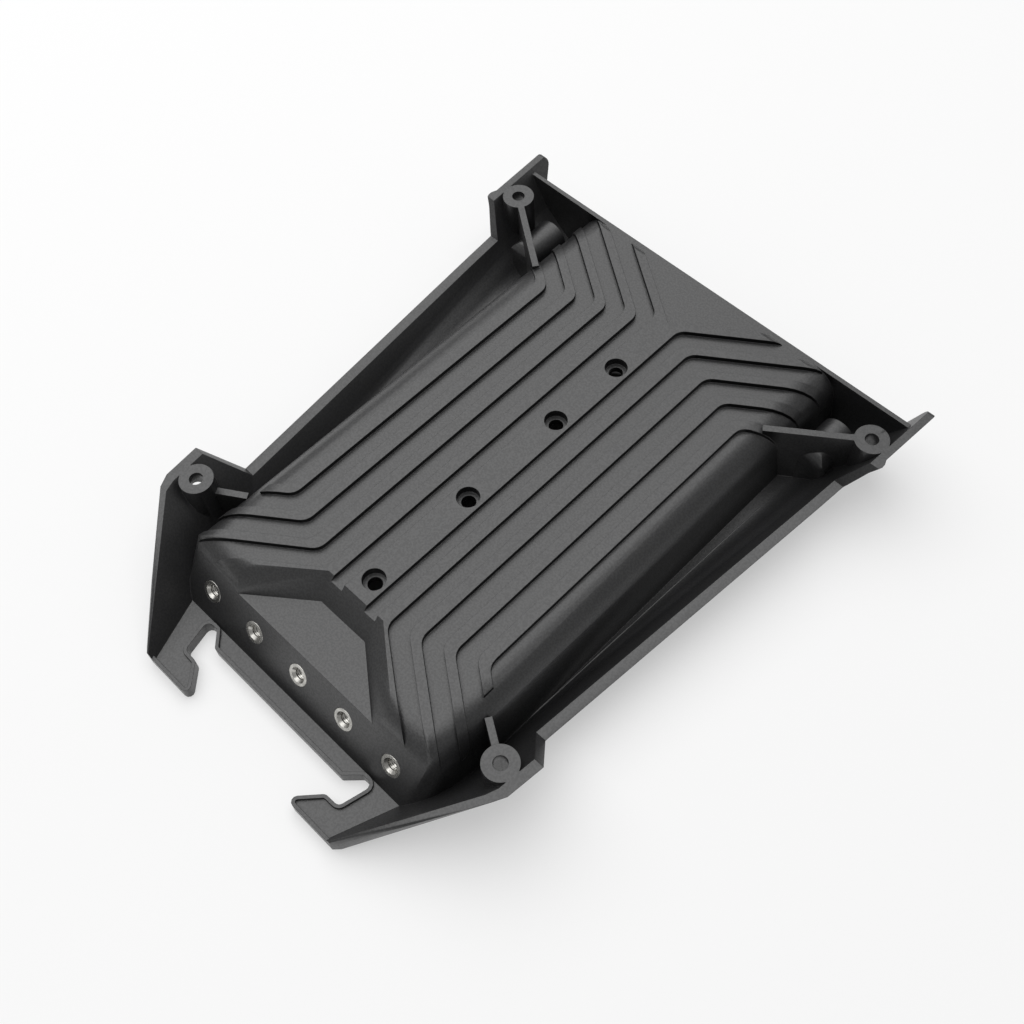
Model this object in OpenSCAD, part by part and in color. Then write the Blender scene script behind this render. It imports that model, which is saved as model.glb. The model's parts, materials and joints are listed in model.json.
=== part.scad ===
// Injection moulded housing: a shallow tray with flared walls and a ribbed raised panel.
// Two hooks stand at the front edge, four screw bosses in the corners, and five threaded
// metal inserts in the leaning front face of the panel.
//
// Millimetres. The origin is the middle of the footprint at the level of the flat underside.
// +Y points to the rear wall and +Z points up.

/* [Model] */
// Piece to draw

/* [Overall] */
// Width over the rear ears
overall_w = 118.4; // [110:0.1:150]
// Length from the hook edge to the tips of the rear fins
overall_l = 152.2; // [130:0.1:190]
// Height of the ears, the ribs and the bosses
overall_h = 19.2; // [17:0.1:26]

/* [Tray] */
// Thickness of the floor
floor_t = 2.6; // [1.5:0.1:4]
// Height at which the flared side walls turn steeper
knee_z = 10.6; // [8:0.1:13]
// Width of the flat land on top of the side walls
wall_land = 2.4; // [1.6:0.1:3.2]
// Height of the walls at the hook corners
nose_z = 4.5; // [3:0.1:7]
// Height of the low part of the side walls, front end
low_front_z = 9.6; // [7:0.1:13]
// Height of the low part of the side walls, rear end
low_rear_z = 11.7; // [8:0.1:15]
// Rear end of the front ears, from the hook edge
front_ear_y = 36.2; // [33:0.1:45]
// Length of the slope behind the front ears
front_ear_ramp = 6.5; // [2:0.1:12]
// Front end of the rear ears, from the fin tips
rear_ear_y = 19.9; // [17:0.1:30]
// Length of the slope in front of the rear ears
rear_ear_ramp = 4.0; // [2:0.1:8]
// Thickness of the rear wall
rear_wall_t = 1.1; // [0.8:0.1:3]
// Length of the fins behind the rear wall
fin_l = 5.1; // [2:0.1:8]
// Height at which the fins leave the rear wall
fin_foot_z = 12.2; // [4:0.1:14]
// Radius of the tips of the fins
fin_r = 1.2; // [0.5:0.1:2]
// Width of the nib at the front end of each rear ear
nib_w = 1; // [0.2:0.1:1.5]

/* [Hooks] */
// Distance from the hook edge to the front edge of the strip between the hooks
strip_y = 10.8; // [8:0.1:12]
// Length of one hook from its outer corner to the start of its tip
hook_l = 15.2; // [12:0.1:18]
// Width of the hook arm, front to back
hook_arm = 6.2; // [4:0.1:8]
// Height of the lip along the free edges
lip_h = 0.7; // [0.3:0.1:1.5]
// Width of the lip
lip_w = 0.8; // [0.5:0.1:1.5]

/* [Raised panel] */
// Width of the panel where its shoulders start
panel_w = 76; // [70:0.1:78]
// Height of the panel between its ribs
panel_z = 18; // [15:0.1:22]
// Foot of the front face, from the hook edge
panel_y = 13.4; // [12:0.1:16]
// Lean of the front face from the vertical
front_lean = 27.9; // [15:0.1:35]
// Draft of the sides
side_draft = 7; // [2:0.5:10]
// Radius of the side shoulders
side_r = 7; // [4:0.1:9]
// Crease that ends the front face, below the top of the panel
crease_in = 3.9; // [2:0.1:6]
// Height of the bevel between the crease and the shoulder
bevel_h = 1; // [0.2:0.1:2]
// Radius of the front shoulder
front_r = 8.3; // [5:0.1:10]
// Where the front shoulder meets the flat top, from the hook edge
shoulder_y = 28; // [25:0.1:31]
// Radius of the two upright front corners
corner_r = 5; // [2:0.1:6]
// Thickness of the shell over the hollow underside
shell_t = 2.5; // [1.5:0.1:3]

/* [Ribs] */
// Height of the ribs above the panel
rib_h = 1.2; // [0.5:0.1:2]
// Width of one rib
rib_w = 2.9; // [1.5:0.1:4.5]
// Distance from rib to rib
rib_pitch = 7; // [5:0.1:7.5]
// Inner edge of the first rib, from the centre line
rib_first = 6.6; // [4:0.1:8]
// Ribs on each side of the centre strip
rib_count = 4; // [1:1:4]
// Width of the centre strip
strip_w = 6.8; // [6:0.1:9]
// Angle by which the ribs turn outward near the front
front_turn = 35.8; // [20:0.1:45]
// Angle by which the ribs turn outward near the rear
rear_turn = 34.6; // [20:0.1:45]
// Bend of the first rib near the front, from the hook edge
front_bend = 35.4; // [33:0.1:45]
// Bend of the first rib near the rear, from the outer face of the rear wall
rear_bend = 18.55; // [15:0.05:25]
// Fork of the centre strip, from the outer face of the rear wall
fork_y = 15.1; // [12:0.1:20]
// Distance by which each rib bends earlier than its inner neighbour
bend_step = 2.65; // [1:0.05:4]
// Radius of the bends
bend_r = 3.5; // [1:0.1:6]
// Width of the slanted ends of the ribs
slant_w = 2.15; // [1:0.05:3]
// Radius of the ribs over the front shoulder
rib_front_r = 5.8; // [4:0.1:8]
// Radius of the ribs' rear ends
rib_rear_r = 1.7; // [0.5:0.1:3]
// Front end of the outermost rib, from the side of the panel
rib_stop_in = 4; // [2:0.1:6]

/* [Front pocket] */
// Height of the pocket floor
pocket_z = 13.9; // [10:0.1:16]
// Width of the straight rear edge of the pocket floor
pocket_w = 13.4; // [10:0.1:20]
// Rear edge of the pocket floor, from the hook edge
pocket_y = 31.5; // [27:0.1:33]
// Angle between the slanted edges of the floor and the rear edge
pocket_turn = 37.6; // [20:0.1:50]
// Slope of the pocket walls, sideways run for each millimetre of height
pocket_slope = 0.86; // [0.2:0.01:1.2]

/* [Corner bosses] */
// Outer diameter
boss_d = 7.7; // [6:0.1:10]
// Screw hole diameter
boss_hole_d = 3; // [2:0.1:4]
// Length of the screw hole under the top
boss_hole_l = 2.4; // [1.5:0.1:6]
// Diameter of the screw head recess that comes up from below
boss_recess_d = 5.5; // [5:0.1:6.5]
// Distance of the front bosses from the side of the overall width
front_boss_in = 13.1; // [11:0.1:16]
// Front bosses from the hook edge
front_boss_y = 31.2; // [29:0.1:34]
// Distance of the rear bosses from the side of the overall width
rear_boss_in = 6.3; // [5.5:0.1:9]
// Rear bosses from the fin tips
rear_boss_y = 14.7; // [12:0.1:17]
// Thickness of the ribs that join the bosses to the panel
web_t = 1.6; // [1:0.1:2.5]
// Height of the front webs
front_web_z = 15.6; // [8:0.1:18]

/* [Rear bumps] */
// Radius of the round bumps beside the panel
bump_r = 4.1; // [2:0.1:5]
// Height of their axis
bump_z = 9.6; // [7:0.1:12]
// Distance of their axis from the side of the overall width
bump_in = 15.2; // [13:0.1:18]
// Their length
bump_l = 12; // [4:0.1:12]
// Their front end, from the fin tips
bump_y = 23.7; // [22:0.1:28]
// Radius of the upright corners of their front end
bump_corner_r = 1.9; // [0.5:0.1:3]

/* [Panel holes] */
// Screw hole diameter
hole_d = 3.2; // [2:0.1:4]
// Head recess diameter
hole_recess_d = 5.1; // [4:0.1:6]
// Head recess depth
hole_recess_l = 2; // [0.5:0.1:2.6]
// First hole, from the hook edge
hole_y = 41.1; // [38:0.1:50]
// Distance between the first three holes
hole_pitch = 26.95; // [15:0.05:30]
// Last hole, from the outer face of the rear wall
last_hole_y = 32.5; // [28:0.1:40]

/* [Inserts] */
// Distance from insert to insert
insert_pitch = 14; // [8:0.1:15]
// Height of the insert centres on the front face
insert_z = 8.9; // [7:0.1:10]
// Flange diameter
insert_d = 5.2; // [4:0.1:6]
// Flange thickness
insert_flange_t = 0.8; // [0.4:0.1:1.2]
// Body diameter
insert_body_d = 4.5; // [3.5:0.1:5.5]
// Length with the flange
insert_l = 5; // [3:0.1:6]
// Thread core diameter
insert_core_d = 2.5; // [2:0.1:3.2]
// Diameter of the boss behind each insert
insert_boss_d = 8; // [7:0.1:10]

/* [Hidden] */
INSERTS = 5;
STEPS = 6;
EPS = 0.01;
FAR = 60;

half_w = overall_w / 2;
wall_y = overall_l - fin_l;
panel_half = panel_w / 2;
face_run = tan(front_lean);
rib_z = panel_z + rib_h;
rib_tan_front = tan(front_turn);
rib_tan_rear = tan(rear_turn);

plastic = [0.12, 0.12, 0.125];
metal = [0.78, 0.78, 0.76];

// Small tools for outlines

function unit(v) = v / norm(v);

function arc(cx, cy, r, from, to, n = STEPS) =
    [for (i = [0:n]) let (a = from + (to - from) * i / n) [cx + r * cos(a), cy + r * sin(a)]];

// One corner of an outline, rounded with radius r between its two neighbours.
function corner(before, at, after, r) =
    r == undef || r <= 0 ? [at] :
    let (
        u = unit(before - at),
        v = unit(after - at),
        half = acos(u * v) / 2,
        c = at + unit(u + v) * r / sin(half),
        s = at + u * r / tan(half) - c,
        e = at + v * r / tan(half) - c,
        from = atan2(s.y, s.x),
        turn = (atan2(e.y, e.x) - from + 540) % 360 - 180
    )
    arc(c.x, c.y, r, from, from + turn, 4);

// A closed outline from corners [x, y] or [x, y, radius].
function rounded(p) =
    let (n = len(p), xy = [for (q = p) [q.x, q.y]])
    [for (i = [0:n - 1]) each corner(xy[(i + n - 1) % n], xy[i], xy[(i + 1) % n], p[i][2])];

// The right half of an outline, front to rear, with its mirror image added.
function both_sides(p) = concat(p, [for (i = [len(p) - 1:-1:0]) [-p[i].x, p[i].y]]);

module sides() {
    children();
    mirror([1, 0, 0]) children();
}

// Outline in X and Z, extruded along Y.
module across(y0, y1) {
    translate([0, y1, 0]) rotate([90, 0, 0]) linear_extrude(height = y1 - y0) children();
}

// Outline in Y and Z, extruded along X to both sides.
module lengthwise(half) {
    rotate([90, 0, 90]) translate([0, 0, -half]) linear_extrude(height = 2 * half) children();
}

// Tray: the right half of each level, from the hook corner to past the rear fins

function foot_out() = [
    [half_w - 30, 0], [half_w - 28.8, 1.2], [half_w - 20.8, 26], [half_w - 19.8, 31.5],
    [half_w - 16.2, overall_l - 24.2], [half_w - 15.4, overall_l + 2]];

function nose_out() = [[half_w - 30, 0], [half_w - 28.7, 1]];

function knee_out() = [
    [half_w - 20.3, 10.8], [half_w - 13.9, 26.5], [half_w - 12.5, 36],
    [half_w - 5.8, overall_l - 22.2], [half_w - 4.3, overall_l + 2]];

function top_out() = [
    [half_w - 8.9, 24.8], [half_w - 7.5, 27.5], [half_w - 6.6, 36.5],
    [half_w - 1.2, overall_l - 16.2], [half_w, overall_l - fin_r], [half_w, overall_l + 2]];

function foot_in() = [
    [half_w - 32.4, -2], [half_w - 21.8, 26.1], [half_w - 20.9, 31.4],
    [half_w - 17.3, overall_l - 24.2], [half_w - 16.2, overall_l + 3]];

function knee_in() = [
    [half_w - 22.3 - wall_land, 6], [half_w - 13.8 - wall_land, 27.5],
    [half_w - 12.6 - wall_land, 36], [half_w - 5.9 - wall_land, overall_l - 22.2],
    [half_w - 4.4 - wall_land, overall_l + 3]];

function top_in() = [
    [half_w - 10.3 - wall_land, 20], [half_w - 7.5 - wall_land, 27.5],
    [half_w - 6.6 - wall_land, 36.5], [half_w - 1.2 - wall_land, overall_l - 16.2],
    [half_w + 0.9 - wall_land, overall_l + 3]];

module level_right(z, outline, t = EPS) {
    translate([0, 0, z]) linear_extrude(height = t) polygon(outline);
}

module level(z, outline, t = EPS) {
    level_right(z, both_sides(outline), t);
}

module tray_body() {
    hull() {
        level(0, foot_out());
        level(nose_z, nose_out());
        level(knee_z, knee_out());
        level(overall_h - EPS, top_out());
    }
}

module tray_hollow() {
    hull() {
        level(floor_t, foot_in());
        level(knee_z, knee_in());
        level(overall_h, top_in(), 1);
    }
}

// What is taken off the side walls between the ears.
module low_sides() {
    lengthwise(FAR * 2) polygon([
        [front_ear_y, overall_h + 1], [front_ear_y, overall_h],
        [front_ear_y + front_ear_ramp, low_front_z],
        [overall_l - rear_ear_y - rear_ear_ramp, low_rear_z],
        [overall_l - rear_ear_y, overall_h], [overall_l - rear_ear_y, overall_h + 1]]);
}

// What is taken off behind the rear wall, so that the fins slant up to a round tip.
module fin_ends() {
    tip = [overall_l - fin_r, overall_h - fin_r];
    reach = tip - [wall_y, fin_foot_z];
    from = atan2(reach.y, reach.x) - asin(fin_r / norm(reach)) - 90;
    lengthwise(FAR * 2) polygon(concat(
        [[wall_y, -1], [wall_y, fin_foot_z]],
        arc(tip.x, tip.y, fin_r, from, 90),
        [[tip.x, overall_h + 1], [overall_l + 5, overall_h + 1], [overall_l + 5, -1]]));
}

// Small nib on the outside of the right rear ear, at its front end. It fades out downward.
module ear_nib() {
    top = [half_w - 1.4, overall_l - rear_ear_y];
    foot = [half_w - 5.7, overall_l - rear_ear_y];
    hull() {
        level_right(overall_h - EPS, [
            top + [-1, -2], top + [0, -2], top + [nib_w, 0.8], top + [nib_w, 1.7],
            top + [0.1, 4], top + [-1, 4]]);
        level_right(knee_z, [foot + [-1, -2], foot, foot + [-1, 4]]);
    }
}

module tray() {
    difference() {
        union() {
            tray_body();
            sides() ear_nib();
        }
        tray_hollow();
        low_sides();
        fin_ends();
    }
}

module rear_wall() {
    across(wall_y - rear_wall_t, wall_y) polygon(both_sides([
        [half_w - 16, 0], [half_w - 5.8, knee_z], [half_w - 1.9, panel_z]]));
}

// Hooks: the outline that is cut out of the front of the floor

function front_cut() =
    let (corner_x = half_w - 28.8, tip = corner_x - hook_l, root = corner_x - 5.85)
    both_sides(rounded([
        [0, -5], [corner_x + 5, -5], [corner_x + 5, 0], [tip, 0, 1.2],
        [tip + hook_arm * 0.92, hook_arm, 1.5], [root, hook_arm + 0.1, 1.2],
        [root + 1.9, 13.95, 1.3], [corner_x - 7, 13.95, 0.8],
        [corner_x - 10.2, strip_y, 0.6], [0, strip_y]]));

module lip() {
    linear_extrude(height = floor_t + lip_h) intersection() {
        polygon(both_sides(foot_out()));
        offset(delta = lip_w) polygon(front_cut());
    }
}

module hook_cut() {
    translate([0, 0, -1]) linear_extrude(height = floor_t + lip_h + 2) polygon(front_cut());
}

// Raised panel

// Cross-section of the panel with shoulders of radius r whose outer side stays at half.
module panel_section(half, top, r, foot) {
    polygon(both_sides(concat(
        [[half + (top - r - foot) * tan(side_draft), foot]],
        arc(half - r, top - r, r, 0, 90))));
}

// Lengthwise section: a leaning face moved back by inset, a bevel, a shoulder of radius r
// and a flat top that ends at rear.
function profile(inset, r, top, rear, foot) =
    let (
        z = top - r,
        edge = top - crease_in,
        start = edge + bevel_h * r / front_r
    )
    concat(
        [[panel_y + inset + foot * face_run, foot], [panel_y + inset + edge * face_run, edge]],
        arc(shoulder_y, z, r, 180 - asin((start - z) / r), 90),
        [[rear, top], [rear, foot]]);

// Lengthwise section through the tops of the ribs.
module rib_profile() {
    y = shoulder_y - 0.8;
    end = wall_y - rear_wall_t - 0.5;
    polygon(concat(
        [[y, panel_z - side_r - 1]],
        arc(y, rib_z - rib_front_r, rib_front_r, 165, 90),
        arc(end - rib_rear_r, rib_z - rib_rear_r, rib_rear_r, 90, 15, 3),
        [[end, panel_z - side_r - 1]]));
}

// Rounded front corners, upright along the leaning face.
module corner_limit() {
    x = panel_half - corner_r + 0.2;
    translate([0, panel_y, 0]) rotate([-front_lean, 0, 0])
        translate([0, 0, -FAR]) linear_extrude(height = 4 * FAR) polygon(both_sides(concat(
            [[0, 0]], arc(x, corner_r, corner_r, -90, 0),
            [[panel_half + 4, corner_r + 14], [FAR, 80], [FAR, 4 * FAR]])));
}

module panel_mass() {
    intersection() {
        across(0, wall_y) panel_section(panel_half, panel_z, side_r, 0);
        lengthwise(FAR) polygon(profile(0, front_r, panel_z, wall_y - rear_wall_t / 2, 0));
        corner_limit();
    }
}

function rib_in(i) = rib_first + rib_pitch * (i - 1);
function front_y(i) = front_bend + bend_step * (i - 1);
function rear_y(i) = wall_y - rear_bend - bend_step * (i - 1);

// The far end of an edge that bends outward at [x, y], towards the front or the rear.
function ahead(p, x = FAR) = [x, p.y - rib_tan_front * (x - p.x)];
function behind(p) = [FAR, p.y + rib_tan_rear * (FAR - p.x)];

// One bent rib on the right. The first one runs on to the front on its inner side, where
// the pocket cuts it off. The last one ends before the shoulder.
module rib_plan(i) {
    x = [rib_in(i), rib_in(i) + rib_w];
    stop = i == rib_count ? panel_half - rib_stop_in : FAR;
    front = [x[0], front_y(i)];
    front_out = [x[1], front_y(i) + slant_w / cos(front_turn) - rib_w * rib_tan_front];
    rear = [x[0], rear_y(i) + slant_w / cos(rear_turn) - rib_w * rib_tan_rear];
    rear_out = [x[1], rear_y(i)];
    start = i == 1 ? [[FAR, 0], [x[0], 0]] : [ahead(front, stop), [front.x, front.y, bend_r]];
    polygon(rounded(concat(
        start,
        [[rear.x, rear.y, bend_r], behind(rear), behind(rear_out),
         [rear_out.x, rear_out.y, bend_r], [front_out.x, front_out.y, bend_r],
         ahead(front_out, stop)])));
}

// The centre strip, which parts in two at the rear.
module strip_plan() {
    fork = [strip_w / 2, wall_y - fork_y];
    apex = [0, fork.y - rib_tan_rear * fork.x + slant_w / cos(rear_turn)];
    polygon(rounded([
        [0, 0], [fork.x, 0], [fork.x, fork.y, bend_r], behind(fork), behind(apex), apex]));
}

module ribs() {
    intersection() {
        across(0, wall_y) panel_section(panel_half, rib_z, side_r + 0.4, panel_z - side_r);
        lengthwise(FAR) rib_profile();
        corner_limit();
        linear_extrude(height = rib_z + 1) sides() {
            strip_plan();
            for (i = [1:rib_count]) rib_plan(i);
        }
    }
}

// Space with a flat floor, a straight rear wall and two slanted ones, open at the front. The
// walls lean outward and stand off by out at the floor.
module pocket_space(floor_z, out) {
    rise = 9;
    module behind_wall(x, turn) {
        translate([x, pocket_y, 0]) rotate([0, 0, turn]) lengthwise(FAR) polygon([
            [-FAR, floor_z], [out, floor_z], [out + rise * pocket_slope, floor_z + rise],
            [-FAR, floor_z + rise]]);
    }
    intersection() {
        behind_wall(0, 0);
        behind_wall(pocket_w / 2, -pocket_turn);
        behind_wall(-pocket_w / 2, pocket_turn);
    }
}

// Hollow underside of the panel, lower under the pocket and closed round each insert.
module panel_hollow() {
    ceiling = panel_z - shell_t;
    difference() {
        intersection() {
            across(0, wall_y) panel_section(panel_half - shell_t, ceiling, side_r - shell_t, -1);
            lengthwise(FAR) polygon(profile(
                shell_t / cos(front_lean), front_r - shell_t, ceiling, wall_y - shell_t, -1));
        }
        pocket_space(pocket_z - shell_t, shell_t * (norm([1, pocket_slope]) - pocket_slope));
        for (i = [1:INSERTS]) at_insert(i) {
            translate([0, 0, -1]) cylinder(h = insert_l + 2.5, d = insert_boss_d);
        }
    }
}

// Corner bosses and their webs

function front_boss() = [half_w - front_boss_in, front_boss_y];
function rear_boss() = [half_w - rear_boss_in, overall_l - rear_boss_y];

module boss_body(p) {
    translate([p.x, p.y, floor_t]) cylinder(h = overall_h - floor_t, d = boss_d);
}

module boss_hole(p) {
    translate([p.x, p.y, 0]) {
        translate([0, 0, -1]) cylinder(h = overall_h + 2, d = boss_hole_d);
        translate([0, 0, -1]) cylinder(h = overall_h - boss_hole_l + 1, d = boss_recess_d);
    }
}

module web(from, to, z) {
    side = unit([from.y - to.y, to.x - from.x]) * web_t / 2;
    translate([0, 0, floor_t - 1]) linear_extrude(height = z - floor_t + 1)
        polygon([from + side, to + side, to - side, from - side]);
}

module corner_supports() {
    web(front_boss(), [panel_half - 1.2, front_boss_y + 5.8], front_web_z);
    web(rear_boss(), [panel_half - 4, wall_y - 23.1], overall_h);
}

// Rear bumps: half a cylinder lying on a block, with a round nose

module bump() {
    x = half_w - bump_in;
    y0 = overall_l - bump_y;
    y1 = y0 + bump_l;
    intersection() {
        across(y0, y1) polygon(concat(
            [[x - bump_r, floor_t - 1], [x, floor_t - 1], [x + bump_r, bump_z - 3]],
            arc(x, bump_z, bump_r, 0, 180, 12)));
        lengthwise(FAR) polygon(concat(
            [[y1, 0], [y0, 0]],
            arc(y0 + bump_r, bump_z, bump_r, 180, 90),
            [[y1, bump_z + bump_r]]));
        linear_extrude(height = overall_h) polygon(rounded([
            [x - bump_r, y1], [x - bump_r, y0, bump_corner_r],
            [x + bump_r, y0, bump_corner_r], [x + bump_r, y1]]));
    }
}

// Inserts

module at_insert(i) {
    x = (i - (INSERTS + 1) / 2) * insert_pitch;
    translate([x, panel_y + insert_z * face_run, insert_z])
        rotate([-90 - front_lean, 0, 0]) children();
}

module insert_body(extra = 0) {
    translate([0, 0, -extra]) cylinder(h = insert_flange_t + extra, d = insert_d);
    cylinder(h = insert_l, d = insert_body_d);
}

module insert(i) {
    color(metal) at_insert(i) difference() {
        insert_body();
        translate([0, 0, -1]) cylinder(h = insert_l + 2, d = insert_core_d);
    }
}

// Panel holes

function hole_places() = [
    hole_y, hole_y + hole_pitch, hole_y + 2 * hole_pitch, wall_y - last_hole_y];

module panel_hole(y) {
    translate([0, y, 0]) {
        translate([0, 0, floor_t]) cylinder(h = rib_z, d = hole_d);
        translate([0, 0, rib_z - hole_recess_l]) cylinder(h = 5, d = hole_recess_d);
    }
}

module housing() {
    color(plastic) difference() {
        union() {
            tray();
            rear_wall();
            lip();
            difference() {
                union() {
                    panel_mass();
                    ribs();
                }
                pocket_space(pocket_z, 0);
            }
            intersection() {
                tray_body();
                sides() {
                    boss_body(front_boss());
                    boss_body(rear_boss());
                }
            }
            sides() {
                corner_supports();
                bump();
            }
        }
        hook_cut();
        panel_hollow();
        sides() {
            boss_hole(front_boss());
            boss_hole(rear_boss());
        }
        for (y = hole_places()) panel_hole(y);
        for (i = [1:INSERTS]) at_insert(i) insert_body(1);
    }
}

module placed() {
    translate([0, -overall_l / 2, 0]) children();
}

placed() housing();
placed() insert(1);  // insert_1
placed() insert(2);  // insert_2
placed() insert(3);  // insert_3
placed() insert(4);  // insert_4
placed() insert(5);  // insert_5
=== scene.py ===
"""Shows the moulded housing with rounded edges, moulded grain and cut threads on a pale floor.

Laid out as a Blender add-on. Everything is in metres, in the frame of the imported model.
"""

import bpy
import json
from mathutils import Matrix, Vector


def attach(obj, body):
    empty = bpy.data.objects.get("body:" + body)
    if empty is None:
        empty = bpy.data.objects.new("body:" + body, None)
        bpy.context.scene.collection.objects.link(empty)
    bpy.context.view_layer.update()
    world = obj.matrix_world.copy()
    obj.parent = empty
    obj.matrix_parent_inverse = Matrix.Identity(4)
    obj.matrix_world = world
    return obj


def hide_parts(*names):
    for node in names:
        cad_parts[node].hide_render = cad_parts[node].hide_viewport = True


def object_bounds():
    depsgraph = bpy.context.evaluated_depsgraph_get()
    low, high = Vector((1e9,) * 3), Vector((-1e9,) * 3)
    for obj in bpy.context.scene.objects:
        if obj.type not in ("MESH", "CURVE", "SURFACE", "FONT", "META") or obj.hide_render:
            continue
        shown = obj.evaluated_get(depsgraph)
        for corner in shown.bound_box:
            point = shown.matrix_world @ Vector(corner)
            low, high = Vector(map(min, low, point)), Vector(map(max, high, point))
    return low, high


bl_info = {
    "name": "Moulded housing",
    "version": (1, 0, 0),
    "blender": (4, 5, 0),
    "location": "3D View > Sidebar > Housing",
    "description": "Builds the housing, its threaded inserts and a small studio",
    "category": "Object",
}

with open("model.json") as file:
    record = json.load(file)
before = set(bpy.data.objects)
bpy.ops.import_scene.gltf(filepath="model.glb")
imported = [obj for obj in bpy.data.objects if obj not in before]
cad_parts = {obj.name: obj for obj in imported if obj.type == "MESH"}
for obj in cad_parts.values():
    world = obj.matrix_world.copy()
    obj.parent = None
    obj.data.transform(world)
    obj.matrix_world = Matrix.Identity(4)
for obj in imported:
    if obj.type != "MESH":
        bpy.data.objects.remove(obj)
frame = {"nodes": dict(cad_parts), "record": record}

import json
import math

import bmesh
import bpy
from bpy.props import FloatProperty, FloatVectorProperty, IntProperty, PointerProperty
from mathutils import Matrix, Vector
from mathutils.bvhtree import BVHTree

CAD_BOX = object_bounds()
FULL_HEIGHT = CAD_BOX[1][2]
MM = 0.001

THREADS = [mount for mount in frame["record"]["mounts"] if mount["kind"] == "threaded_hole"]
FRONT = Vector(THREADS[0]["axis"])

# The CAD triangles are joined: points this close, and faces that turn by less than this.
WELD = 0.015 * MM
LEVEL_ANGLE = math.radians(2)

# The webs are trimmed further out than TROUGH and no higher than KNEE, where the walls bend.
TROUGH = 39 * MM
KNEE = 10.2 * MM

# The outer faces of the flared walls: least area, and how far they look outward and down.
WALL_AREA = 20 * MM ** 2
WALL_OUTWARD = 0.3
WALL_DOWNWARD = (-0.98, -0.1)

# Rounded edges: steps of the rounding, and the share of its radius a point may stand off.
EDGE_STEPS = 2
STAND_OFF = 0.7

# Normals of the housing: how much each kind of face counts, and where a corner stays hard.
LARGE_AREA = 2 * MM ** 2
ALIGNED = 0.9999
FLAT_WEIGHT, LARGE_WEIGHT, NARROW_WEIGHT = 1000, 30, 1
SOFT_ANGLE = math.radians(60)

# Normals of the inserts: edges that turn by more than this look sharp.
SHARP_ANGLE = math.radians(30)

# The value that noise varies about.
NOISE_MIDDLE = 0.5


# Sizes and colours that a user would change

class HousingLook(bpy.types.PropertyGroup):
    edge_radius: FloatProperty(
        name="Edge radius", description="Rounding of every moulded edge",
        default=0.09 * MM, min=0.02 * MM, max=0.4 * MM, precision=5,
        subtype="DISTANCE", unit="LENGTH")
    edge_angle: FloatProperty(
        name="Edge angle", description="Edges that turn by more than this are rounded",
        default=math.radians(48), subtype="ANGLE", unit="ROTATION")
    colour: FloatVectorProperty(
        name="Colour", description="Colour of the plastic",
        default=(0.0115, 0.0115, 0.012), min=0, max=1, size=3, subtype="COLOR")
    roughness: FloatProperty(
        name="Roughness", description="Roughness of the plastic",
        default=0.40, min=0, max=1, subtype="FACTOR")
    ior: FloatProperty(
        name="IOR", description="Strength of the sheen, as an index of refraction",
        default=1.62, min=1, max=2.5)
    # A weaker sheen for the upright flanks of the ribs, part of the shade painted on them
    flank_shade_ior: FloatProperty(
        name="Flank IOR", description="The same for the upright flanks of the ribs",
        default=1.22, min=1, max=2.5)
    rib_reach: FloatProperty(
        name="Rib reach", description="How far the ribs reach to each side of the centre",
        default=38 * MM, precision=4, subtype="DISTANCE", unit="LENGTH")
    sheen: FloatProperty(
        name="Sheen", description="Extra sheen on the high spots of the grain",
        default=0.32, min=0, max=1, subtype="FACTOR")
    grain: FloatProperty(
        name="Grain", description="Size of the moulded grain",
        default=0.45 * MM, min=0.05 * MM, max=2 * MM, precision=5,
        subtype="DISTANCE", unit="LENGTH")
    grain_depth: FloatProperty(
        name="Grain depth", description="Depth of the moulded grain",
        default=0.03 * MM, min=0, max=0.05 * MM, precision=6,
        subtype="DISTANCE", unit="LENGTH")
    flash_start: FloatVectorProperty(
        name="Flash start", description="Front end of the bead of flash in the right trough",
        default=(38.5 * MM, -44 * MM, 2.7 * MM), size=3, precision=4,
        subtype="XYZ", unit="LENGTH")
    flash_end: FloatVectorProperty(
        name="Flash end", description="Rear end of the bead of flash",
        default=(41.8 * MM, 46 * MM, 2.7 * MM), size=3, precision=4,
        subtype="XYZ", unit="LENGTH")
    flash_width: FloatProperty(
        name="Flash width", description="Half the width of the bead of flash",
        default=0.3 * MM, min=0.02 * MM, max=0.4 * MM, precision=5,
        subtype="DISTANCE", unit="LENGTH")


class InsertLook(bpy.types.PropertyGroup):
    flange_radius: FloatProperty(
        name="Flange radius", description="Outer radius of the flange",
        default=2.6 * MM, precision=5, subtype="DISTANCE", unit="LENGTH")
    flange_depth: FloatProperty(
        name="Flange depth", description="Thickness of the flange",
        default=0.8 * MM, precision=5, subtype="DISTANCE", unit="LENGTH")
    body_radius: FloatProperty(
        name="Body radius", description="Outer radius of the knurled body",
        default=2.25 * MM, precision=5, subtype="DISTANCE", unit="LENGTH")
    chamfer: FloatProperty(
        name="Chamfer", description="Chamfer at the mouth of the thread",
        default=0.6 * MM, precision=5, subtype="DISTANCE", unit="LENGTH")
    pitch: FloatProperty(
        name="Thread pitch", description="Rise of the thread in one turn",
        default=0.5 * MM, precision=5, subtype="DISTANCE", unit="LENGTH")
    thread_depth: FloatProperty(
        name="Thread depth", description="Depth of the thread from crest to root",
        default=0.25 * MM, precision=5, subtype="DISTANCE", unit="LENGTH")
    teeth: IntProperty(
        name="Knurl teeth", description="Teeth round the knurled body",
        default=32, min=8, max=64)
    colour: FloatVectorProperty(
        name="Colour", description="Colour of the metal",
        default=(0.54, 0.53, 0.50), min=0, max=1, size=3, subtype="COLOR")


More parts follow.
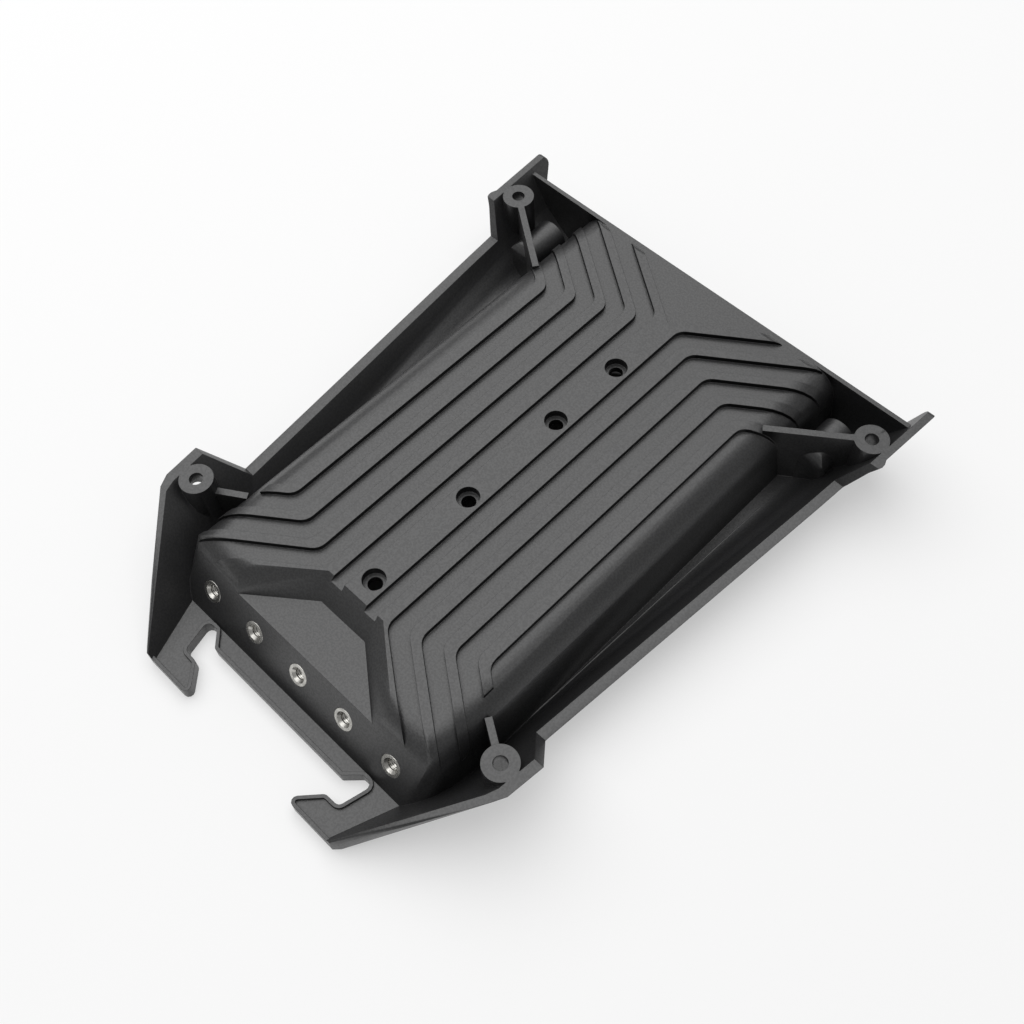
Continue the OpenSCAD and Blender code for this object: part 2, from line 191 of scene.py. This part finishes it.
class StudioLook(bpy.types.PropertyGroup):
    floor_size: FloatProperty(
        name="Floor size", description="Side of the square floor",
        default=6.0, subtype="DISTANCE", unit="LENGTH")
    floor_colour: FloatVectorProperty(
        name="Floor colour", description="Colour of the floor",
        default=(0.46, 0.46, 0.46), min=0, max=1, size=3, subtype="COLOR")
    floor_glow: FloatProperty(
        name="Floor glow", description="Light that shines through the pale floor",
        default=0.435)
    # The dark patch is painted shade: no glow under the panel, which is seen dark through its
    # holes
    painted_shade_gap: FloatVectorProperty(
        name="Glow gap",
        description="Half the width and length of the dark patch under the panel",
        default=(30 * MM, 60 * MM), size=2, precision=4, subtype="XYZ", unit="LENGTH")
    azimuth: FloatProperty(
        name="Camera azimuth", description="Direction of the camera round the housing",
        default=math.radians(47.97), subtype="ANGLE", unit="ROTATION")
    elevation: FloatProperty(
        name="Camera elevation", description="Height angle of the camera",
        default=math.radians(59.06), subtype="ANGLE", unit="ROTATION")
    roll: FloatProperty(
        name="Camera roll", description="Turn of the picture",
        default=math.radians(4.12), subtype="ANGLE", unit="ROTATION")
    place: FloatVectorProperty(
        name="Camera place", description="Where the camera stands",
        default=(0.11048, -0.09550, 0.24634), size=3, subtype="XYZ", unit="LENGTH")
    lens: FloatProperty(
        name="Lens", description="Focal length in millimetres", default=44.49)
    sky: FloatProperty(
        name="Room light", description="Strength of the light from all round", default=0.40)
    lamp_size: FloatProperty(
        name="Lamp size", description="Side of the square soft lamp",
        default=1.5, subtype="DISTANCE", unit="LENGTH")
    lamp_radiance: FloatProperty(
        name="Lamp brightness", description="Brightness of the lamp's face", default=1.9)
    lamp_distance: FloatProperty(
        name="Lamp distance", description="Distance of the lamp from the housing",
        default=1.0, subtype="DISTANCE", unit="LENGTH")
    lamp_direction: FloatVectorProperty(
        name="Lamp direction", description="From the housing to the lamp",
        default=(-0.35, 0.10, 0.93), size=3, subtype="DIRECTION")


# Shader maths

class Wire:
    """A socket's value. Operators on it add Math nodes."""

    def __init__(self, graph, socket):
        self.graph = graph
        self.socket = socket

    def maths(self, operation, first, second):
        node = self.graph.add(
            "ShaderNodeMath", {"operation": operation}, {0: first, 1: second})
        return self.graph.out(node, 0)

    def __add__(self, other):
        return self.maths("ADD", self, other)

    def __radd__(self, other):
        return self.maths("ADD", other, self)

    def __sub__(self, other):
        return self.maths("SUBTRACT", self, other)

    def __rsub__(self, other):
        return self.maths("SUBTRACT", other, self)

    def __mul__(self, other):
        return self.maths("MULTIPLY", self, other)

    def __rmul__(self, other):
        return self.maths("MULTIPLY", other, self)


class Graph:
    """The node tree of one new material."""

    def __init__(self, name):
        self.material = bpy.data.materials.new(name)
        self.material.use_nodes = True
        self.tree = self.material.node_tree
        self.tree.nodes.clear()

    def add(self, kind, settings, inputs):
        """Adds a node, makes its settings, and then sets or links its sockets."""
        node = self.tree.nodes.new(kind)
        for name, value in settings.items():
            if name == "stops":
                for element, (position, grey) in zip(node.color_ramp.elements, value):
                    element.position = position
                    element.color = (grey, grey, grey, 1)
            else:
                setattr(node, name, value)
        for name, value in inputs.items():
            if isinstance(value, Wire):
                self.tree.links.new(value.socket, node.inputs[name])
            else:
                node.inputs[name].default_value = value
        return node

    def out(self, node, name):
        return Wire(self, node.outputs[name])

    def noise(self, place, size, detail=2.0):
        """Cloudy noise whose features are about as large as size, in metres."""
        node = self.add("ShaderNodeTexNoise", {}, {
            "Vector": place, "Scale": 1 / size, "Detail": detail})
        return self.out(node, "Fac")

    def ramp(self, value, low, high):
        """Runs from 0 at low to 1 at high."""
        node = self.add("ShaderNodeValToRGB", {"stops": [(low, 0), (high, 1)]}, {0: value})
        return self.out(node, "Color")

    def blend(self, factor, first, second):
        """Runs from the first colour to the second as the factor runs from 0 to 1."""
        node = self.add(
            "ShaderNodeMix", {"data_type": "RGBA"}, {0: factor, 6: first, 7: second})
        return self.out(node, 2)

    def place(self):
        """The point of the surface, in metres."""
        return self.out(self.add("ShaderNodeTexCoord", {}, {}), "Object")

    def facing(self):
        """The direction that the surface looks in."""
        return self.out(self.add("ShaderNodeTexCoord", {}, {}), "Normal")

    def length(self, vector, scale):
        """Length of a vector after each of its parts is multiplied by its own scale."""
        scaled = self.add(
            "ShaderNodeVectorMath", {"operation": "MULTIPLY"}, {0: vector, 1: scale})
        node = self.add(
            "ShaderNodeVectorMath", {"operation": "LENGTH"}, {0: self.out(scaled, "Vector")})
        return self.out(node, "Value")

    def height_of(self, vector):
        return self.out(self.add("ShaderNodeSeparateXYZ", {}, {0: vector}), "Z")

    def finish(self, inputs, height=None, depth=0.0, part=None, part_inputs=None):
        """Ends the tree in a Principled shader, with a bump from height in metres.

        Where part is 1, a second shader with its own inputs takes over.
        """
        if height is not None:
            bump = self.add("ShaderNodeBump", {}, {
                "Strength": 1.0, "Distance": depth, "Height": height})
            inputs = {**inputs, "Normal": self.out(bump, "Normal")}
        shader = self.add("ShaderNodeBsdfPrincipled", {}, inputs)
        if part is not None:
            second = self.add("ShaderNodeBsdfPrincipled", {}, part_inputs)
            shader = self.add("ShaderNodeMixShader", {}, {
                0: part, 1: self.out(shader, 0), 2: self.out(second, 0)})
        self.add("ShaderNodeOutputMaterial", {}, {"Surface": self.out(shader, 0)})
        return self.material


def rgba(colour, factor=1.0):
    """The colour, darker or lighter by the factor, with full alpha."""
    return (*[channel * factor for channel in colour], 1.0)


def moulded_plastic(look):
    """Black plastic: fine eroded grain with a broken sheen, and faint flow clouds.

    The upright flanks of the ribs get a second shader without grain or coat, with a darker
    colour and a weaker sheen: painted shade.
    """
    g = Graph("moulded_plastic")
    place = g.place()
    grain = g.noise(place, look.grain, detail=3.0)
    clouds = g.noise(place, 14 * MM, detail=3.0)
    # The first two colours tint the flow clouds; the third, at 0.4, is painted shade for the
    # rib flanks.
    dark, light, flank_shade = (rgba(look.colour, factor) for factor in (0.9, 1.12, 0.4))
    colour = g.blend(g.ramp(clouds, low=0.35, high=0.65), dark, light)
    roughness = (
        look.roughness + 0.05 * (clouds - NOISE_MIDDLE) + 0.10 * (grain - NOISE_MIDDLE))
    # The flanks stand upright, in the top quarter of the height, between the outermost ribs;
    # there the darker shader paints shade.
    upright = 1 - g.ramp(g.height_of(g.facing()), low=0.1, high=0.35)
    high = g.ramp(g.height_of(place) * (1 / FULL_HEIGHT), low=0.75, high=0.80)
    aside = g.ramp(g.length(place, (1 / look.rib_reach, 0, 0)), low=0.95, high=1.0)
    return g.finish(
        {
            "Base Color": colour, "Roughness": roughness, "IOR": look.ior,
            "Coat Weight": look.sheen * g.ramp(grain, low=0.42, high=0.58),
            "Coat Roughness": look.roughness},
        height=grain, depth=look.grain_depth, part=upright * high * (1 - aside),
        part_inputs={
            "Base Color": flank_shade, "Roughness": look.roughness, "IOR": look.flank_shade_ior})


def turned_metal(look):
    """Bright metal, finely uneven, with a few duller patches."""
    g = Graph("turned_metal")
    place = g.place()
    fine = g.noise(place, 0.12 * MM)
    patches = g.noise(place, 0.9 * MM)
    bright, dull = rgba(look.colour), rgba(look.colour, 0.72)
    colour = g.blend(g.ramp(patches, low=0.4, high=0.7), bright, dull)
    roughness = 0.20 + 0.16 * patches + 0.06 * (fine - NOISE_MIDDLE)
    return g.finish(
        {"Base Color": colour, "Metallic": 1.0, "Roughness": roughness},
        height=fine, depth=0.006 * MM)


def pale_floor(look):
    """Matt pale board, lit from below, and hardly uneven; under the panel the glow is cut out
    as painted shade.
    """
    g = Graph("pale_floor")
    place = g.place()
    clouds = g.noise(place, 400 * MM)
    across, along = look.painted_shade_gap
    reach = g.length(place, (1 / across, 1 / along, 0))
    black, white = rgba((0, 0, 0)), rgba((1, 1, 1))
    # Outside the gap the floor glows; inside it stays dark, a painted shade under the panel
    glow = g.blend(g.ramp(reach, low=0.85, high=1.0), black, white)
    darker, lighter = rgba(look.floor_colour, 0.995), rgba(look.floor_colour, 1.005)
    colour = g.blend(clouds, darker, lighter)
    return g.finish({
        "Base Color": colour, "Roughness": 0.9, "Specular IOR Level": 0.1,
        "Emission Color": glow, "Emission Strength": look.floor_glow})


# Mesh work

def new_object(name, mesh, material):
    piece = bpy.data.objects.new(name, mesh)
    bpy.context.scene.collection.objects.link(piece)
    mesh.materials.clear()
    mesh.materials.append(material)
    return piece


def join_flats(solid):
    """Makes one face of neighbours that lie level with each other."""
    bmesh.ops.dissolve_limit(
        solid, angle_limit=LEVEL_ANGLE, verts=solid.verts, edges=solid.edges,
        delimit={"NORMAL"})


def wall_planes(solid):
    """The normal and a point of each outer face of the flared walls."""
    flattest, steepest = WALL_DOWNWARD
    return [
        (face.normal.copy(), face.verts[0].co.copy()) for face in solid.faces
        if face.calc_area() > WALL_AREA
        and abs(face.calc_center_median().x) > TROUGH - MM
        and abs(face.normal.x) > WALL_OUTWARD
        and flattest < face.normal.z < steepest]


def trim_webs(solid):
    """Presses what hangs out below the flared walls, at the webs of the bosses, onto them."""
    planes = wall_planes(solid)
    for vertex in solid.verts:
        spot = vertex.co
        if abs(spot.x) < TROUGH or spot.z > KNEE:
            continue
        level = max(
            spot.z + normal.dot(point - spot) / normal.z
            for normal, point in planes if normal.x * spot.x > 0)
        if spot.z < level - WELD:
            vertex.co.z = level
    bmesh.ops.remove_doubles(solid, verts=solid.verts, dist=WELD)
    bmesh.ops.dissolve_degenerate(solid, dist=WELD, edges=solid.edges)


def rounded_copy(source, radius, angle):
    """The mesh of a CAD node with its flat faces joined, webs trimmed and edges rounded."""
    solid = bmesh.new()
    solid.from_mesh(source.data)
    bmesh.ops.remove_doubles(solid, verts=solid.verts, dist=WELD)
    join_flats(solid)
    trim_webs(solid)
    join_flats(solid)
    for face in solid.faces:
        face.smooth = True
    mesh = bpy.data.meshes.new("work")
    solid.to_mesh(mesh)
    work = bpy.data.objects.new("work", mesh)
    bpy.context.scene.collection.objects.link(work)
    bevel = work.modifiers.new("edges", "BEVEL")
    bevel.width = radius
    bevel.segments = EDGE_STEPS
    bevel.limit_method = "ANGLE"
    bevel.angle_limit = angle
    bevel.use_clamp_overlap = False
    bevel.miter_outer = "MITER_ARC"
    seen = work.evaluated_get(bpy.context.evaluated_depsgraph_get())
    result = bpy.data.meshes.new_from_object(seen)
    bpy.data.objects.remove(work)
    pull_in(result, BVHTree.FromBMesh(solid), radius * STAND_OFF)
    solid.free()
    return result


def pull_in(mesh, surface, reach):
    """Brings vertices back that stand off the surface by more than reach, or leave the box."""
    low, high = (Vector(corner) for corner in CAD_BOX)
    for vertex in mesh.vertices:
        point, _, _, distance = surface.find_nearest(vertex.co)
        if distance > reach:
            vertex.co = point
        for axis in range(3):
            vertex.co[axis] = min(max(vertex.co[axis], low[axis]), high[axis])


def shade(mesh):
    """Sets normals so that flats look flat, and rounds and shoulders look smooth.

    At each corner, faces that meet softly share one normal. Level faces and the leaning
    front count most, other large faces less, and the narrow faces of the edges least.
    """
    solid = bmesh.new()
    solid.from_mesh(mesh)
    solid.faces.ensure_lookup_table()
    weights = []
    for face in solid.faces:
        large = face.calc_area() > LARGE_AREA
        flat = large and (
            abs(face.normal.z) > ALIGNED or face.normal.dot(FRONT) > ALIGNED)
        weights.append(FLAT_WEIGHT if flat else LARGE_WEIGHT if large else NARROW_WEIGHT)
    normals = [None] * len(mesh.loops)
    for vertex in solid.verts:
        left = set(vertex.link_loops)
        while left:
            fan = [left.pop()]
            for loop in fan:
                for edge in (loop.edge, loop.link_loop_prev.edge):
                    if edge.calc_face_angle(math.pi) < SOFT_ANGLE:
                        near = [
                            other for other in left if other.face in edge.link_faces]
                        fan += near
                        left.difference_update(near)
            total = Vector()
            for loop in fan:
                total += loop.face.normal * weights[loop.face.index] * loop.calc_angle()
            for loop in fan:
                normals[loop.index] = total.normalized()
    solid.free()
    mesh.normals_split_custom_set(normals)


def circle(count):
    """The angles of so many points round a circle."""
    return [2 * math.pi * k / count for k in range(count)]


def skin(rings, closed=True):
    """Faces between rings of points; where closed, the last ring is joined to the first."""
    mesh = bmesh.new()
    rows = [[mesh.verts.new(point) for point in ring] for ring in rings]
    count = len(rows[0])
    following = rows[1:] + rows[:1] if closed else rows[1:]
    for near, far in zip(rows, following):
        for k in range(count):
            after = (k + 1) % count
            face = mesh.faces.new((near[k], near[after], far[after], far[k]))
            face.smooth = True
    bmesh.ops.recalc_face_normals(mesh, faces=mesh.faces)
    return mesh


def flash_bead(start, end, width):
    """A low bead from start to end that swells and thins on its way and tapers at its ends."""
    rows, around, tilt, flatness = 60, 8, math.radians(20), 0.4
    # A tenth of the length tapers at each end, and the tips stay a little blunt.
    tapering, blunt = 10, 0.2
    # Its width swings about a mean by the product of a fast and a slow wave.
    mean, swing, fast, slow = 0.75, 0.2, 0.9, 0.37
    along = end - start
    level = along.cross(Vector((0, 0, 1))).normalized()
    side = level * math.cos(tilt) - Vector((0, 0, 1)) * math.sin(tilt)
    up = side.cross(along).normalized() * flatness
    rings = []
    for k in range(rows + 1):
        taper = min(1, tapering * (k + blunt) / rows, tapering * (rows - k + blunt) / rows)
        swell = mean + swing * math.sin(fast * k) * math.sin(slow * k)
        reach = width * taper * swell
        rings.append([
            start + along * k / rows + (side * math.cos(a) + up * math.sin(a)) * reach
            for a in circle(around)])
    return skin(rings, closed=False)


def insert_rings(look, bore, length):
    """Rings of one insert: the outside from mouth to tail, then the thread back to the mouth.

    Each ring is a list of points round the axis, which runs along +Z into the plastic.
    """
    around = 96
    rings = []

    def ring(radius, depth):
        """A ring at one depth, whose radius follows from the angle."""
        rings.append([
            (radius(a) * math.cos(a), radius(a) * math.sin(a), depth)
            for a in circle(around)])

    def plain(radius, depth):
        ring(lambda a: radius, depth)

    # Chamfer of the flange and the tail, depth of a tooth, and turn of the teeth in radians.
    edge, tooth, knurl_turn = 0.08 * MM, 0.1 * MM, 0.5
    flange, body = look.flange_radius, look.body_radius
    plain(flange - edge, 0)
    plain(flange, edge)
    plain(flange, look.flange_depth - edge)
    plain(flange - edge, look.flange_depth)
    plain(body - tooth, look.flange_depth)

    def knurl(slant):
        return lambda a: body - tooth * (0.5 + 0.5 * math.cos(look.teeth * (a + slant)))

    steps = 8
    for k in range(steps + 1):
        depth = look.flange_depth + (length - look.flange_depth - edge) * k / steps
        ring(knurl(knurl_turn * k / steps), depth)
    plain(body - tooth - edge, length)
    plain(bore + look.chamfer, length)

    # The thread: a saw of crests and roots that climbs by one pitch in each turn.
    rows_per_turn = 8
    start, end = length - look.chamfer, look.chamfer
    rows = int((start - end) / look.pitch * rows_per_turn)
    for k in range(rows + 1):
        depth = start + (end - start) * k / rows
        fade = min(1.0, k / rows_per_turn, (rows - k) / rows_per_turn)

        def thread(a, depth=depth, fade=fade):
            phase = (depth / look.pitch + a / (2 * math.pi)) % 1.0
            wave = abs(2 * phase - 1)
            return bore + look.thread_depth * wave * fade
        ring(thread, depth)
    plain(bore + look.chamfer, 0)
    return rings


# Pieces

class HOUSING_OT_body(bpy.types.Operator):
    """Builds the moulding with rounded edges and moulded grain"""
    bl_idname = "housing.body"
    bl_label = "Moulded body"
    bl_options = {"REGISTER", "UNDO"}

    def execute(self, context):
        look = context.scene.housing_look
        mesh = rounded_copy(frame["nodes"]["housing"], look.edge_radius, look.edge_angle)
        flash = flash_bead(Vector(look.flash_start), Vector(look.flash_end), look.flash_width)
        flash.from_mesh(mesh)
        flash.to_mesh(mesh)
        flash.free()
        shade(mesh)
        piece = new_object("moulded_body", mesh, moulded_plastic(look))
        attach(piece, "root")
        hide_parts("housing")
        return {"FINISHED"}


class HOUSING_OT_inserts(bpy.types.Operator):
    """Builds the five threaded inserts in the front face"""
    bl_idname = "housing.inserts"
    bl_label = "Threaded inserts"
    bl_options = {"REGISTER", "UNDO"}

    def execute(self, context):
        look = context.scene.insert_look
        material = turned_metal(look)
        for number, mount in enumerate(THREADS, 1):
            inward = -Vector(mount["axis"]).normalized()
            bore = mount["dims"]["r_mm"] * MM
            length = mount["dims"]["length_mm"] * MM
            mouth = Vector(mount["pos_m"]) - inward * length / 2
            side = Vector((1, 0, 0))
            turn = Matrix((side, inward.cross(side), inward)).transposed()
            made = skin(insert_rings(look, bore, length))
            made.transform(Matrix.Translation(mouth) @ turn.to_4x4())
            mesh = bpy.data.meshes.new(f"insert_{number}_mesh")
            made.to_mesh(mesh)
            made.free()
            mesh.set_sharp_from_angle(angle=SHARP_ANGLE)
            piece = new_object(f"threaded_insert_{number}", mesh, material)
            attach(piece, "root")
            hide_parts(f"insert_{number}")
        return {"FINISHED"}


class HOUSING_OT_studio(bpy.types.Operator):
    """Builds the floor, the soft light and the camera"""
    bl_idname = "housing.studio"
    bl_label = "Studio"
    bl_options = {"REGISTER", "UNDO"}

    def execute(self, context):
        look = context.scene.studio_look
        self.floor(look)
        self.lamp(context.scene, look)
        self.room(context.scene, look)
        self.camera(context.scene, look)
        context.scene.view_settings.view_transform = "Standard"
        return {"FINISHED"}

    def floor(self, look):
        half = look.floor_size / 2
        level = CAD_BOX[0][2]
        made = bmesh.new()
        made.faces.new([
            made.verts.new((x, y, level))
            for x, y in ((-half, -half), (half, -half), (half, half), (-half, half))])
        mesh = bpy.data.meshes.new("floor_mesh")
        made.to_mesh(mesh)
        made.free()
        new_object("floor", mesh, pale_floor(look))

    def lamp(self, scene, look):
        data = bpy.data.lights.new("soft_lamp", "AREA")
        data.shape = "SQUARE"
        data.size = look.lamp_size
        data.energy = look.lamp_radiance * math.pi * look.lamp_size ** 2
        lamp = bpy.data.objects.new("soft_lamp", data)
        scene.collection.objects.link(lamp)
        away = Vector(look.lamp_direction).normalized()
        lamp.location = away * look.lamp_distance
        lamp.rotation_euler = away.to_track_quat("Z", "Y").to_euler()

    def room(self, scene, look):
        world = bpy.data.worlds.new("room")
        world.use_nodes = True
        light = world.node_tree.nodes["Background"]
        light.inputs["Color"].default_value = (1, 1, 1, 1)
        light.inputs["Strength"].default_value = look.sky
        scene.world = world

    def camera(self, scene, look):
        data = bpy.data.cameras.new("camera")
        data.lens = look.lens
        data.sensor_width = 36
        data.clip_start = 0.01
        camera = bpy.data.objects.new("camera", data)
        scene.collection.objects.link(camera)
        flat = math.cos(look.elevation)
        back = Vector((
            math.sin(look.azimuth) * flat, -math.cos(look.azimuth) * flat,
            math.sin(look.elevation)))
        right = (-back).cross(Vector((0, 0, 1))).normalized()
        up = back.cross(right)
        turned_right = right * math.cos(look.roll) - up * math.sin(look.roll)
        turned_up = up * math.cos(look.roll) + right * math.sin(look.roll)
        turn = Matrix((turned_right, turned_up, back)).transposed()
        camera.matrix_world = Matrix.Translation(look.place) @ turn.to_4x4()
        scene.camera = camera


OPERATORS = (HOUSING_OT_studio, HOUSING_OT_body, HOUSING_OT_inserts)


class HOUSING_PT_panel(bpy.types.Panel):
    """Lists the steps and the values that can be changed"""
    bl_label = "Housing"
    bl_idname = "HOUSING_PT_panel"
    bl_space_type = "VIEW_3D"
    bl_region_type = "UI"
    bl_category = "Housing"

    def draw(self, context):
        layout = self.layout
        for group in (
                context.scene.housing_look, context.scene.insert_look,
                context.scene.studio_look):
            box = layout.box()
            for name in type(group).__annotations__:
                box.prop(group, name)
        for step in OPERATORS:
            layout.operator(step.bl_idname)


CLASSES = (HousingLook, InsertLook, StudioLook, *OPERATORS, HOUSING_PT_panel)


def register():
    for made in CLASSES:
        bpy.utils.register_class(made)
    bpy.types.Scene.housing_look = PointerProperty(type=HousingLook)
    bpy.types.Scene.insert_look = PointerProperty(type=InsertLook)
    bpy.types.Scene.studio_look = PointerProperty(type=StudioLook)


def unregister():
    del bpy.types.Scene.studio_look
    del bpy.types.Scene.insert_look
    del bpy.types.Scene.housing_look
    for made in reversed(CLASSES):
        bpy.utils.unregister_class(made)


def main():
    register()
    bpy.ops.housing.studio()
    bpy.ops.housing.body()
    bpy.ops.housing.inserts()
    bpy.context.view_layer.update()


if __name__ == "__main__":
    main()
